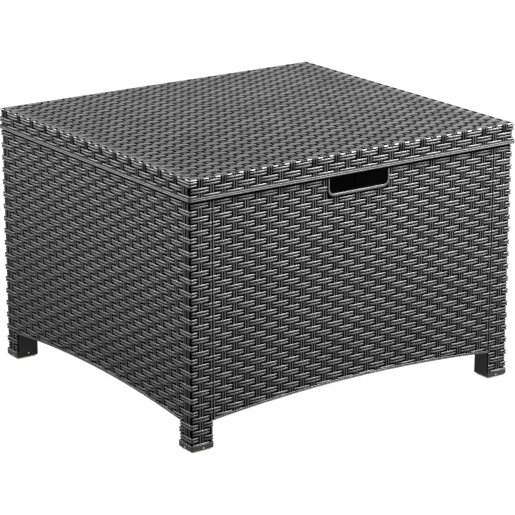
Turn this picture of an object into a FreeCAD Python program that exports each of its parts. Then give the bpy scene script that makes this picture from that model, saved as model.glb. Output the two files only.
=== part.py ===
import FreeCAD, Part
import math
import os

from FreeCAD import Vector as V

# A low square side table that hides a 20 lb gas cylinder.
# Frame: millimetres, origin on the floor under the middle of the table,
# +X to the right seen from the front, +Y to the back, +Z up.
# The front is the wall with the hand slot. The lid is hinged along the back.

os.makedirs("parts", exist_ok=True)

# ---------------------------------------------------------------- overall
LID_W = 733.0          # over the lid rim, left to right
LID_D = 663.0          # over the lid rim, front to back
TOP_Z = 500.0          # top edge of the lid
CROWN = 7.0            # the table top rises this much more towards its middle
CROWN_X = 361.0        # the crown runs out to zero here
CROWN_Y = 326.0
RIM_Z = 460.0          # underside of the lid rim
RIM_H = 6.5            # height of the smooth rim band
RIM_STEP = 1.3         # how far the rim stands out past the skirt
SKIN = 5.0             # wall thickness of lid and panels over the weave crests
LID_R = 4.2            # vertical corner radius of the lid
TOP_R = 4.0            # radius along the top edge of the lid

BODY_STEP = 2.8        # body walls stand this far inside the lid rim
BODY_R = 3.5           # vertical corner radius of the body
SHOULDER_Z = 457.5     # top of the body walls, below the rim
SHOULDER_T = 5.0
NECK_IN = 7.5          # the neck stands this far inside the outer body face
NECK_T = 3.0
NECK_TOP = 482.0

POST_X = 46.2          # hollow corner post, width along X
POST_Y = 40.7          # hollow corner post, width along Y
POST_T = 3.0
POST_Z0 = 2.5          # the post wall starts above the glide flange
LEG_Z = 53.5           # underside of the walls where they meet the legs
ARCH_Z = 70.0          # underside of the walls at mid span
SEAM = 1.2             # open joint between post and front or rear panel
TONGUE_T = 2.7
TONGUE_L = 8.0
PAD_T = 3.0            # thickened panel ends that take the brackets

SLOT_W = 130.0         # hand slot in the front panel
SLOT_Z = 428.5
SLOT_R = 10.0
BEAD_W = 4.5           # raised bead round the slot
BEAD_H = 1.4

HINGE_X = 230.0        # hinge centres, left and right of the middle
HINGE_Y = 327.9        # hinge axis
HINGE_Z = 462.0
LEAF_W = 54.0
LEAF_T = 2.0
LEAF_Y = 324.0         # face that the leaves are screwed to
BARREL_R = 3.4
PIN_R = 1.60
PIN_BORE_R = 1.65      # 0.05 mm running clearance on radius
POCKET_W = 59.0
KNUCKLE_HALF = 9.0     # half length of the middle knuckle
KNUCKLE_GAP = 0.4

FRAME_Z0 = 484.0       # ribbed frame under the lid
FRAME_Z1 = 494.9        # at its edges; its ribs follow the crown
RIB_T = 3.0

RX = LID_W / 2.0
RY = LID_D / 2.0
LX = RX - RIM_STEP
LY = RY - RIM_STEP
BX = RX - BODY_STEP
BY = RY - BODY_STEP
NX = BX - NECK_IN
NY = BY - NECK_IN
PX = BX - POST_X       # inner face of the posts, seam plane
PY = BY - POST_Y
UNDER_Z = TOP_Z - SKIN  # underside of the table top at its edges


# ---------------------------------------------------------------- helpers
def box(x0, x1, y0, y1, z0, z1):
    x0, x1 = min(x0, x1), max(x0, x1)
    y0, y1 = min(y0, y1), max(y0, y1)
    return Part.makeBox(x1 - x0, y1 - y0, z1 - z0, V(x0, y0, z0))


def prism(hx, hy, r, z0, z1):
    b = box(-hx, hx, -hy, hy, z0, z1)
    edges = [
        e for e in b.Edges
        if abs(e.Vertexes[0].Z - e.Vertexes[1].Z) > 0.5 * (z1 - z0)
    ]
    return b.makeFillet(r, edges)


def cyl(r, a, b):
    a, b = V(*a), V(*b)
    d = b.sub(a)
    return Part.makeCylinder(r, d.Length, a, d)


def crown(x, y):
    return CROWN * (1 - (x / CROWN_X) ** 2) * (1 - (y / CROWN_Y) ** 2)


def crowned_block(z_edge, z_low):
    # Block whose top is the crowned surface, z_edge high along its four straight edges.
    n = 12
    surf = Part.BSplineSurface()
    surf.interpolate([[V(x, y, z_edge + crown(x, y))
                       for y in [CROWN_Y * (2 * j - n) / n for j in range(n + 1)]]
                      for x in [CROWN_X * (2 * i - n) / n for i in range(n + 1)]])
    faces = [surf.toShape()]
    a = [V(-CROWN_X, -CROWN_Y, z_edge), V(CROWN_X, -CROWN_Y, z_edge),
         V(CROWN_X, CROWN_Y, z_edge), V(-CROWN_X, CROWN_Y, z_edge)]
    b = [V(p.x, p.y, z_low) for p in a]
    for i in range(4):
        k = (i + 1) % 4
        faces.append(Part.Face(Part.makePolygon([a[i], a[k], b[k], b[i], a[i]])))
    faces.append(Part.Face(Part.makePolygon(b + [b[0]])))
    shell = Part.makeShell(faces)
    shell.sewShape()
    solid = Part.makeSolid(shell)
    if solid.Volume < 0:
        solid.reverse()
    return solid


def fuse(first, *rest):
    flat = [s for s in rest]
    return first.fuse(flat).removeSplitter()


def arch_cutter(half, lo, hi, along_x, z_side, z_mid):
    # Prism under a shallow circular arc, for the underside of a wall.
    if along_x:
        p = [V(-half, lo, z_side), V(0, lo, z_mid), V(half, lo, z_side)]
        q = [V(half, lo, -5), V(-half, lo, -5)]
        d = V(0, hi - lo, 0)
    else:
        p = [V(lo, -half, z_side), V(lo, 0, z_mid), V(lo, half, z_side)]
        q = [V(lo, half, -5), V(lo, -half, -5)]
        d = V(hi - lo, 0, 0)
    arc = Part.Arc(p[0], p[1], p[2]).toShape()
    lines = [Part.makeLine(p[2], q[0]), Part.makeLine(q[0], q[1]), Part.makeLine(q[1], p[0])]
    return Part.Face(Part.Wire([arc] + lines)).extrude(d)


def slot_cutter(w, z0, r, y0, y1, z_top):
    # U shape open at the top, with rounded lower corners.
    h = w / 2.0
    k = r * (1 - math.sqrt(0.5))
    a1 = Part.Arc(V(-h, y0, z0 + r), V(-h + k, y0, z0 + k), V(-h + r, y0, z0)).toShape()
    a2 = Part.Arc(V(h - r, y0, z0), V(h - k, y0, z0 + k), V(h, y0, z0 + r)).toShape()
    wire = Part.Wire([
        a1,
        Part.makeLine(V(-h + r, y0, z0), V(h - r, y0, z0)),
        a2,
        Part.makeLine(V(h, y0, z0 + r), V(h, y0, z_top)),
        Part.makeLine(V(h, y0, z_top), V(-h, y0, z_top)),
        Part.makeLine(V(-h, y0, z_top), V(-h, y0, z0 + r)),
    ])
    return Part.Face(wire).extrude(V(0, y1 - y0, 0))


def screw(tip, head_at, r=1.5, head_r=3.5, head_h=2.0):
    # Pan-head screw: head_at is the seat under the head, tip the end of the shank.
    a, b = V(*head_at), V(*tip)
    d = b.sub(a)
    d.normalize()
    shank = Part.makeCylinder(r, a.distanceToPoint(b), a, d)
    back = a.sub(V(d.x * head_h, d.y * head_h, d.z * head_h))
    head = Part.makeCylinder(head_r, head_h, back, d)
    rim = [e for e in head.Edges if e.Closed and e.CenterOfMass.distanceToPoint(back) < 0.01]
    head = head.makeFillet(0.8, rim)
    return head.fuse(shank).removeSplitter()


def save(shape, name):
    if isinstance(shape, (list, tuple)):
        shape = Part.makeCompound(list(shape))
    elif len(shape.Solids) == 1:
        shape = shape.Solids[0]
    shape.exportStep("parts/%s.step" % name)


# ---------------------------------------------------------------- body ring
wall = prism(BX, BY, BODY_R, POST_Z0, SHOULDER_Z).cut(
    prism(BX - SKIN, BY - SKIN, 2.0, 0, 600))
shoulder = prism(BX, BY, BODY_R, SHOULDER_Z - SHOULDER_T, SHOULDER_Z).cut(
    prism(NX - NECK_T, NY - NECK_T, 1.5, 0, 600))
neck = prism(NX, NY, 4.0, SHOULDER_Z - 1, NECK_TOP).cut(
    prism(NX - NECK_T, NY - NECK_T, 1.5, 0, 600))
ring = fuse(wall, shoulder, neck)

# bracket places: (sign x, sign y, z of the bracket's lower end)
BRACKET_H = 60.0
BRACKET_T = 2.5
BRACKET_L = 34.0
UPPER_Z = 384.0
LOWER_Z = 84.0


def bracket_screws(sx, sy, z0):
    # seats and tips of the four screws of one bracket
    out = []
    xa = sx * (PX - BRACKET_T)
    ya = sy * (BY - SKIN - PAD_T - BRACKET_T)
    for dz in (14.0, 46.0):
        z = z0 + dz
        y = sy * (PY + 13.0)
        out.append(((xa + sx * 7.2, y, z), (xa, y, z)))
        x = sx * (PX - 24.0)
        out.append(((x, ya + sy * 8.0, z), (x, ya, z)))
    return out


# ---------------------------------------------------------------- side panels
def side_panel(sx):
    s = ring.common(box(sx * PX, sx * (BX + 5), -BY - 5, BY + 5, 0, 600))
    parts = []
    for sy in (-1, 1):
        parts.append(box(sx * PX, sx * (PX + POST_T), sy * PY, sy * (BY - 2), POST_Z0, SHOULDER_Z))
        parts.append(box(sx * PX, sx * (BX - 2), sy * PY, sy * (PY + POST_T), POST_Z0, SHOULDER_Z))
        parts.append(box(sx * PX, sx * (BX - 2), sy * PY, sy * (BY - 2), SHOULDER_Z - SHOULDER_T, SHOULDER_Z))
    # upright stiffening ribs on the inside of the wall
    for y in (-150.0, 0.0, 150.0):
        parts.append(box(sx * (BX - SKIN - 6), sx * (BX - SKIN + 1), y - 1.5, y + 1.5, ARCH_Z + 6, SHOULDER_Z - 2))
    s = fuse(s, *parts)
    s = s.cut(arch_cutter(PY, min(sx * (BX - 20), sx * (BX + 5)), max(sx * (BX - 20), sx * (BX + 5)), False, LEG_Z, ARCH_Z))
    cuts = []
    for sy in (-1, 1):
        # groove through the post wall for the tongue of the next panel
        cuts.append(box(sx * (PX - 1), sx * (PX + POST_T + 1), sy * (BY - SKIN - TONGUE_T - 0.5), sy * (BY - SKIN), LEG_Z + 8, SHOULDER_Z - SHOULDER_T))
        # windows in the foot band for the barbs of the glide
        xm, ym = sx * (BX - 26.0), sy * (BY - 24.0)
        cuts.append(box(xm - 2.6, xm + 2.6, sy * (BY - SKIN - 1), sy * (BY + 1), 5.0, 8.0))
        cuts.append(box(sx * (BX - SKIN - 1), sx * (BX + 1), ym - 2.6, ym + 2.6, 5.0, 8.0))
        cuts.append(box(xm - 2.6, xm + 2.6, sy * (PY - 1), sy * (PY + POST_T + 1), 8.5, 11.5))
        for z0 in (UPPER_Z, LOWER_Z):
            for tip, seat in bracket_screws(sx, sy, z0):
                if abs(tip[0]) > PX:
                    cuts.append(cyl(1.6, (seat[0] - sx * 1, seat[1], seat[2]), (tip[0] + sx * 0.5, tip[1], tip[2])))
    s = s.cut(cuts)
    # the foot bottoms are eased all round
    bottom = []
    for e in s.Edges:
        bb = e.BoundBox
        if bb.ZMax < POST_Z0 + 0.01:
            c = e.CenterOfMass
            outer = (abs(abs(c.x) - BX) < 3.5 or abs(abs(c.x) - PX) < 0.2 or
                     abs(abs(c.y) - BY) < 3.5 or abs(abs(c.y) - PY) < 0.2)
            if outer:
                bottom.append(e)
    try:
        s = s.makeChamfer(2.0, bottom)
    except Exception:
        pass
    return s.removeSplitter()


# ---------------------------------------------------------------- front, rear
def end_panel(sy, slot):
    half = PX - SEAM
    s = ring.common(box(-half, half, sy * (BY - 40), sy * (BY + 5), 0, 600))
    parts = []
    yi = sy * (BY - SKIN)
    for sx in (-1, 1):
        parts.append(box(sx * (half - 41.0), sx * half, yi + sy * 1, yi - sy * PAD_T, LEG_Z + 12, SHOULDER_Z - 6.0))
        parts.append(box(sx * (half - 2.0), sx * (half + TONGUE_L), yi - sy * 0.3, yi - sy * (0.3 + TONGUE_T), LEG_Z + 12, SHOULDER_Z - 6.0))
    for x in (-165.0, 0.0, 165.0):
        top = SHOULDER_Z - 2 if not (slot and x == 0.0) else SLOT_Z - 6
        parts.append(box(x - 1.5, x + 1.5, yi + sy * 1, yi - sy * 6, ARCH_Z + 6, top))
    if not slot:
        for sx in (-1, 1):
            xc = sx * HINGE_X
            parts.append(box(xc - POCKET_W / 2 - 3.5, xc + POCKET_W / 2 + 3.5, yi + sy * 1, sy * (LEAF_Y - 5.5), 419.0, SHOULDER_Z))
    s = fuse(s, *parts)
    s = s.cut(arch_cutter(PX, min(sy * (BY - 20), sy * (BY + 5)), max(sy * (BY - 20), sy * (BY + 5)), True, LEG_Z, ARCH_Z))
    cuts = []
    if slot:
        bead = slot_cutter(SLOT_W + 2 * BEAD_W, SLOT_Z - BEAD_W, SLOT_R + BEAD_W, -BY - BEAD_H, -BY + SKIN, SHOULDER_Z)
        s = fuse(s, bead)
        cuts.append(slot_cutter(SLOT_W, SLOT_Z, SLOT_R, -BY - 5, -BY + 30, NECK_TOP + 5))
    else:
        for sx in (-1, 1):
            xc = sx * HINGE_X
            cuts.append(box(xc - POCKET_W / 2, xc + POCKET_W / 2, LEAF_Y, BY + 5, 424.0, 600))
            cuts.append(box(xc - POCKET_W / 2 - 7, xc + POCKET_W / 2 + 7, 300, BY + 5, SHOULDER_Z, 600))
            for x, z in leaf_holes(xc, False):
                cuts.append(cyl(1.6, (x, LEAF_Y - 5.0, z), (x, LEAF_Y + 1, z)))
    for sx in (-1, 1):
        for z0 in (UPPER_Z, LOWER_Z):
            for tip, seat in bracket_screws(sx, sy, z0):
                if abs(tip[0]) < PX:
                    cuts.append(cyl(1.6, (seat[0], seat[1] - sy * 1, seat[2]), (tip[0], tip[1] + sy * 0.2, tip[2])))
    return s.cut(cuts).removeSplitter()


# ---------------------------------------------------------------- hinges
BODY_LEAF_Z0 = 427.0
BODY_LEAF_Z1 = 455.5
LID_LEAF_Z0 = 466.5
LID_LEAF_Z1 = 490.5


def leaf_holes(xc, lid):
    z = 481.0 if lid else 440.0
    return [(xc - 18.0, z), (xc, z), (xc + 18.0, z)]


def leaf(xc, lid):
    hw = LEAF_W / 2.0
    y0, y1 = LEAF_Y, LEAF_Y + LEAF_T
    if lid:
        s = box(xc - hw, xc + hw, y0, y1, LID_LEAF_Z0, LID_LEAF_Z1)
        spans = [(xc - KNUCKLE_HALF, xc + KNUCKLE_HALF)]
        za, zb = HINGE_Z, LID_LEAF_Z0 + 1
    else:
        s = box(xc - hw, xc + hw, y0, y1, BODY_LEAF_Z0, BODY_LEAF_Z1)
        g = KNUCKLE_HALF + KNUCKLE_GAP
        spans = [(xc - hw, xc - g), (xc + g, xc + hw)]
        za, zb = BODY_LEAF_Z1 - 1, HINGE_Z
    corners = [
        e for e in s.Edges
        if abs(e.BoundBox.YLength - LEAF_T) < 0.01 and e.BoundBox.XLength < 0.01 and
        (abs(e.CenterOfMass.z - (LID_LEAF_Z1 if lid else BODY_LEAF_Z0)) < 0.01)
    ]
    s = s.makeFillet(4.0, corners)
    parts = []
    for a, b in spans:
        parts.append(box(a, b, y0 + 0.5, y1, za, zb))
        parts.append(cyl(BARREL_R, (a, HINGE_Y, HINGE_Z), (b, HINGE_Y, HINGE_Z)))
    s = fuse(s, *parts)
    s = s.cut([cyl(PIN_BORE_R, (xc - hw - 1, HINGE_Y, HINGE_Z), (xc + hw + 1, HINGE_Y, HINGE_Z))] +
              [cyl(1.7, (x, y0 - 1, z), (x, y1 + 1, z)) for x, z in leaf_holes(xc, lid)])
    return s.removeSplitter()


def hinge_pin(xc):
    hw = LEAF_W / 2.0
    pin = cyl(PIN_R, (xc - hw - 0.6, HINGE_Y, HINGE_Z), (xc + hw + 0.6, HINGE_Y, HINGE_Z))
    return pin.makeFillet(0.4, [e for e in pin.Edges if e.Closed])


# ---------------------------------------------------------------- brackets
def bracket(sx, sy, z0):
    xa = sx * PX
    ya = sy * (BY - SKIN - PAD_T)
    s = box(xa, xa - sx * BRACKET_T, ya, sy * (PY + 3.0), z0, z0 + BRACKET_H)
    s = fuse(s, box(xa, xa - sx * BRACKET_L, ya, ya - sy * BRACKET_T, z0, z0 + BRACKET_H))
    # gusset across the inside corner at mid height
    g = BRACKET_T
    p = [V(xa - sx * g, ya - sy * g, z0 + 28.5), V(xa - sx * (g + 20), ya - sy * g, z0 + 28.5),
         V(xa - sx * g, ya - sy * (g + 20), z0 + 28.5)]
    tri = Part.Face(Part.makePolygon(p + [p[0]])).extrude(V(0, 0, 3.0))
    s = fuse(s, tri)
    holes = []
    for tip, seat in bracket_screws(sx, sy, z0):
        a, b = V(*seat), V(*tip)
        d = b.sub(a)
        d.normalize()
        holes.append(Part.makeCylinder(1.7, BRACKET_T + 2, a.sub(d), d))
    return s.cut(holes).removeSplitter()


# ---------------------------------------------------------------- foot glides
def foot_glide(sx, sy):
    g = 0.2
    x0, x1 = PX + POST_T + g, BX - SKIN - g
    y0, y1 = PY + POST_T + g, BY - SKIN - g
    flange = box(sx * (PX + 2.2), sx * (BX - 2.2), sy * (PY + 2.2), sy * (BY - 2.2), 0, POST_Z0)
    vert = [e for e in flange.Edges if abs(e.Vertexes[0].Z - e.Vertexes[1].Z) > 1]
    flange = flange.makeFillet(4.0, vert)
    low = [e for e in flange.Edges if e.BoundBox.ZMax < 0.01]
    flange = flange.makeChamfer(0.8, low)
    plug = box(sx * x0, sx * x1, sy * y0, sy * y1, POST_Z0 - 1, 15.0)
    plug = plug.makeFillet(2.2, [e for e in plug.Edges if abs(e.Vertexes[0].Z - e.Vertexes[1].Z) > 1])
    core = box(sx * (x0 + 2.5), sx * (x1 - 2.5), sy * (y0 + 2.5), sy * (y1 - 2.5), POST_Z0, 30)
    xm, ym = sx * (BX - 26.0), sy * (BY - 24.0)
    barbs = [
        box(xm - 2.4, xm + 2.4, sy * (y1 - 1), sy * (BY - 0.8), 5.2, 7.8),
        box(sx * (x1 - 1), sx * (BX - 0.8), ym - 2.4, ym + 2.4, 5.2, 7.8),
        box(xm - 2.4, xm + 2.4, sy * (y0 + 1), sy * (PY + 0.4), 8.7, 11.3),
    ]
    return fuse(flange, plug).cut(core).fuse(barbs).removeSplitter()


# ---------------------------------------------------------------- lid
def lid_shell():
    s = prism(LX, LY, LID_R, RIM_Z, TOP_Z)
    top = [e for e in s.Edges if e.BoundBox.ZMin > TOP_Z - 0.01]
    s = s.makeFillet(TOP_R, top)
    rim = prism(RX, RY, LID_R + 0.6, RIM_Z, RIM_Z + RIM_H)
    ring_edges = [e for e in rim.Edges if e.BoundBox.ZLength < 0.01]
    rim = rim.makeFillet(1.2, ring_edges)
    s = fuse(s, rim, crowned_block(TOP_Z, TOP_Z - 3))
    hollow = prism(LX - SKIN, LY - SKIN, 2.0, RIM_Z - 5, UNDER_Z + CROWN + 2)
    s = s.cut(hollow.common(crowned_block(UNDER_Z, RIM_Z - 10)))
    pads = []
    for sx in (-1, 1):
        xc = sx * HINGE_X
        pads.append(box(xc - POCKET_W / 2 - 3.5, xc + POCKET_W / 2 + 3.5, LEAF_Y - 5.0, LY - 1, RIM_Z, UNDER_Z + 1))
    s = fuse(s, *pads)
    cuts = []
    for sx in (-1, 1):
        xc = sx * HINGE_X
        cuts.append(box(xc - POCKET_W / 2, xc + POCKET_W / 2, LEAF_Y, RY + 5, RIM_Z - 5, 492.0))
        for x, z in leaf_holes(xc, True):
            cuts.append(cyl(1.6, (x, LEAF_Y - 4.5, z), (x, LEAF_Y + 1, z)))
    for x, y in frame_bosses():
        cuts.append(cyl(2.0, (x, y, UNDER_Z - 1), (x, y, UNDER_Z + crown(x, y) + 2.6)))
    return s.cut(cuts).removeSplitter()


def frame_bosses():
    return [(sx * 320.0, sy * 285.0) for sx in (-1, 1) for sy in (-1, 1)] + \
        [(0.0, -285.0), (0.0, 285.0), (-320.0, 0.0), (320.0, 0.0)]


def lid_frame():
    hx, hy = 338.0, 302.0
    high = FRAME_Z1 + CROWN + 1
    r = prism(hx, hy, 12.0, FRAME_Z0, high).cut(prism(hx - 3.5, hy - 3.5, 8.5, 0, 600))
    parts = []
    for x in (-268.0, -201.0, -134.0, -67.0, 0.0, 67.0, 134.0, 201.0, 268.0):
        parts.append(box(x - RIB_T / 2, x + RIB_T / 2, -hy + 1, hy - 1, FRAME_Z0 + 2, high))
    for y in (-231.0, -165.0, -99.0, -33.0, 33.0, 99.0, 165.0, 231.0):
        parts.append(box(-hx + 1, hx - 1, y - RIB_T / 2, y + RIB_T / 2, FRAME_Z0 + 2, high))
    for x, y in frame_bosses():
        parts.append(cyl(8.0, (x, y, FRAME_Z0), (x, y, high)))
        ex = x + math.copysign(16.0, x) if abs(x) > 1 else x
        ey = y + math.copysign(15.0, y) if abs(y) > 1 else y
        if abs(x) > 1:
            parts.append(box(x, ex, y - 1.5, y + 1.5, FRAME_Z0 + 2, high))
        if abs(y) > 1:
            parts.append(box(x - 1.5, x + 1.5, y, ey, FRAME_Z0 + 2, high))
    r = fuse(r, *parts).common(crowned_block(FRAME_Z1, FRAME_Z0 - 10))
    return r.cut([cyl(2.1, (x, y, 0), (x, y, 600)) for x, y in frame_bosses()]).removeSplitter()


# ---------------------------------------------------------------- write parts
save(side_panel(-1), "left_side_panel")
save(side_panel(1), "right_side_panel")
save(end_panel(-1, True), "front_panel")
save(end_panel(1, False), "rear_panel")

names = {(-1, -1): "front_left", (1, -1): "front_right", (-1, 1): "rear_left", (1, 1): "rear_right"}
for (sx, sy), where in names.items():
    save(bracket(sx, sy, UPPER_Z), "upper_bracket_" + where)
    save(bracket(sx, sy, LOWER_Z), "lower_bracket_" + where)
    save(foot_glide(sx, sy), "foot_glide_" + where)

for z0, group in ((UPPER_Z, "upper_bracket_screws"), (LOWER_Z, "lower_bracket_screws")):
    screws = []
    for sx, sy in names:
        for tip, seat in bracket_screws(sx, sy, z0):
            screws.append(screw(tip, seat))
    save(screws, group)

for sx, side in ((-1, "left"), (1, "right")):
    xc = sx * HINGE_X
    save(leaf(xc, False), "hinge_body_leaf_" + side)
    save(leaf(xc, True), "hinge_lid_leaf_" + side)
    save(hinge_pin(xc), "hinge_pin_" + side)

for lid in (False, True):
    screws = []
    for sx in (-1, 1):
        for x, z in leaf_holes(sx * HINGE_X, lid):
            screws.append(screw((x, LEAF_Y - 4.2, z), (x, LEAF_Y + LEAF_T, z), 1.5, 3.2, 1.7))
    save(screws, "hinge_lid_screws" if lid else "hinge_body_screws")

save(lid_shell(), "lid_top_panel")
save(lid_frame(), "lid_ribbed_frame")
save([screw((x, y, UNDER_Z + crown(x, y) + 2.4), (x, y, FRAME_Z0), 1.9, 4.0, 2.0) for x, y in frame_bosses()],
     "lid_frame_screws")

# soft pads on the shoulder that the lid rim settles on
for (sx, sy), where in names.items():
    b = box(sx * (BX - 5.6), sx * (BX - 1.6), sy * 190.0, sy * 214.0, SHOULDER_Z, RIM_Z - 0.4)
    b = b.makeFillet(0.6, [e for e in b.Edges if e.BoundBox.ZMin > RIM_Z - 0.5])
    save(b, "lid_bumper_" + where)
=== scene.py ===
import math

import bmesh
import bpy
import numpy as np
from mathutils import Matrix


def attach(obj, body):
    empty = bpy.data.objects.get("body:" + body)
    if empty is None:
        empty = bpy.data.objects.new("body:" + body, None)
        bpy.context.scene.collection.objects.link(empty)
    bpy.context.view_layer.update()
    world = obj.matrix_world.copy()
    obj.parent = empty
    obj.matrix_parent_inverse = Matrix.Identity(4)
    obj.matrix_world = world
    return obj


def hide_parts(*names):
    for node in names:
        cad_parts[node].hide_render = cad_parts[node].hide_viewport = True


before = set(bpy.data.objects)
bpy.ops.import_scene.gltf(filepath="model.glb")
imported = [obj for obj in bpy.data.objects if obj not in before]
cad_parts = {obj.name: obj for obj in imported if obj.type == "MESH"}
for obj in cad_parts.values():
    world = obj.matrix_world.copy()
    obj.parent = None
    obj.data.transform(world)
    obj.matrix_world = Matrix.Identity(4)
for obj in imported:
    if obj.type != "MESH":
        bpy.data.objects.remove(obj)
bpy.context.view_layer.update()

# Everything below is worked out in millimetres in the row frame and scaled to metres when a mesh is made.
MM = 0.001
RNG = np.random.default_rng(11)

# ------------------------------------------------------------------ object sizes (as in the CAD model)
LIDX, LIDY, LIDR, TOPZ, TOPR = 365.2, 330.2, 4.2, 500.0, 4.0
CROWN, CROWN_X, CROWN_Y = 7.0, 361.0, 326.0
BODX, BODY, BODR = 363.7, 328.7, 3.5
POSTX, POSTY = 317.5, 288.0
RIM_TOP = 466.5
LIP_Z = 456.6
BAND_Z = 12.5
LEG_Z, ARCH_Z = 53.5, 70.0
DEPTH = 4.2            # depth of the weave below its crests
SINK = 4.6             # strands close this far below the crests

# ------------------------------------------------------------------ weave lattice
PITCH = 24.41
ROW = 12.27
STX = [PITCH * (i - 14) for i in range(29)]
STY = [-306.9 + 24.552 * j for j in range(26)]
TOPY = [-319.1 + ROW * m for m in range(53)]
BRICK = 38.0
BRICK_T = 29.6
HALF_B = 5.1
HALF_T = 5.5           # the strands on the table top lie closer
HALF_S = 4.45


def row_z(k):
    # three rows on the lid skirt, the others on the walls
    return 490.5 - ROW * k if k < 3 else 451.0 - 12.22 * (k - 3)


def crown(x, y):
    return CROWN * np.clip(1 - (x / CROWN_X) ** 2, 0, 1) * np.clip(1 - (y / CROWN_Y) ** 2, 0, 1)


# ------------------------------------------------------------------ faces of a rounded box
class Face:
    def __init__(self, a, o, h, hn, r, flip):
        self.a, self.o = np.array(a, float), np.array(o, float)
        self.h, self.hn, self.r, self.flip = h, hn, r, flip

    def plan(self, s, e):
        s, e = np.broadcast_arrays(np.asarray(s, float), np.asarray(e, float))
        sg = np.where(s < 0, -1.0, 1.0)
        d = np.abs(s) - self.h
        th = np.clip((d + self.r) / (2 * self.r), 0, 1) * math.pi / 2
        rad = self.r + e
        sharp = rad < 0.05
        pa = np.where(d <= -self.r, s, np.where((d >= self.r) | sharp, sg * (self.h + e), sg * (self.h - self.r + rad * np.sin(th))))
        po = np.where(d <= -self.r, self.hn + e, np.where(d >= self.r, self.hn - d, np.where(sharp, self.hn + e, self.hn - self.r + rad * np.cos(th))))
        return pa, po

    def at(self, s, z, n):
        pa, po = self.plan(s, n)
        z = np.broadcast_to(z, pa.shape)
        xy = pa[..., None] * self.a + po[..., None] * self.o
        xy[..., 2] = z
        return xy

    def over(self, s, w, n):
        # w runs up the side (negative) and on over the top edge (positive)
        s, w, n = np.broadcast_arrays(np.asarray(s, float), np.asarray(w, float), np.asarray(n, float))
        th = np.clip((w + TOPR) / (2 * TOPR), 0, 1) * math.pi / 2
        e = np.where(w <= -TOPR, n, np.where(w >= TOPR, -w, -TOPR + (TOPR + n) * np.cos(th)))
        z = np.where(w <= -TOPR, TOPZ + w, np.where(w >= TOPR, TOPZ + n, TOPZ - TOPR + (TOPR + n) * np.sin(th)))
        co = self.at(s, z, e)
        co[..., 2] += crown(co[..., 0], co[..., 1]) * (w >= TOPR)
        return co


def box_faces(hx, hy, r):
    return {
        "front": Face((1, 0, 0), (0, -1, 0), hx, hy, r, False),
        "rear": Face((1, 0, 0), (0, 1, 0), hx, hy, r, True),
        "right": Face((0, 1, 0), (1, 0, 0), hy, hx, r, False),
        "left": Face((0, 1, 0), (-1, 0, 0), hy, hx, r, True),
    }


BODYF = box_faces(BODX, BODY, BODR)
LIDF = box_faces(LIDX, LIDY, LIDR)


# ------------------------------------------------------------------ mesh collector
class Mesh:
    def __init__(self):
        self.co, self.quads, self.tint, self.rise, self.nv = [], [], [], [], 0

    def grid(self, co, flip=False, keep=None, tint=None, rise=None):
        # co is [N, M, K, 3]: N strips of M samples with K points across
        n, m, k = co.shape[:3]
        idx = np.arange(n * m * k).reshape(n, m, k) + self.nv
        q = np.stack([idx[:, :-1, :-1], idx[:, 1:, :-1], idx[:, 1:, 1:], idx[:, :-1, 1:]], axis=-1)
        if flip:
            q = q[..., ::-1]
        q = q.reshape(-1, 4)
        if keep is not None:
            q = q[np.asarray(keep).reshape(-1)]
        self.co.append(co.reshape(-1, 3))
        self.quads.append(q)
        if tint is None:
            tint = np.full(n, 0.5)
        self.tint.append(np.repeat(np.asarray(tint, float), m * k))
        # how far up the strand a point lies: 0 in the gaps, 1 on the crest; the woven materials paint a strand lighter
        # where it is high and darker where it is low, painted highlight and painted shade
        rise = np.zeros((n, m, k)) if rise is None else np.asarray(rise, float)
        self.rise.append(np.clip(1 + np.broadcast_to(rise, (n, m, k)).reshape(-1) / 3.2, 0, 1))
        self.nv += n * m * k

    def make(self, name, body, node, slot, mat):
        co = np.concatenate(self.co) * MM
        q = np.concatenate(self.quads)
        tint = np.concatenate(self.tint)
        rise = np.concatenate(self.rise)
        used = np.zeros(len(co), bool)
        used[q.reshape(-1)] = True
        remap = np.cumsum(used) - 1
        co, tint, rise, q = co[used], tint[used], rise[used], remap[q]
        me = bpy.data.meshes.new(name)
        me.vertices.add(len(co))
        me.vertices.foreach_set("co", co.astype(np.float32).reshape(-1))
        me.loops.add(len(q) * 4)
        me.loops.foreach_set("vertex_index", q.astype(np.int32).reshape(-1))
        me.polygons.add(len(q))
        me.polygons.foreach_set("loop_start", np.arange(0, len(q) * 4, 4, dtype=np.int32))
        me.update(calc_edges=True)
        me.validate()
        me.polygons.foreach_set("use_smooth", np.ones(len(me.polygons), bool))
        for key, val in (("tint", tint), ("rise", rise)):
            at = me.attributes.new(key, "FLOAT", "POINT")
            if len(me.vertices) == len(val):
                at.data.foreach_set("value", val.astype(np.float32))
        me.materials.append(mat)
        ob = bpy.data.objects.new(name, me)
        bpy.context.scene.collection.objects.link(ob)
        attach(ob, body)
        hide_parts(node)
        return ob


# ------------------------------------------------------------------ strands
B_END = np.array([0.0, 0.25, 1.1, 3.8, 9.5])
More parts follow.
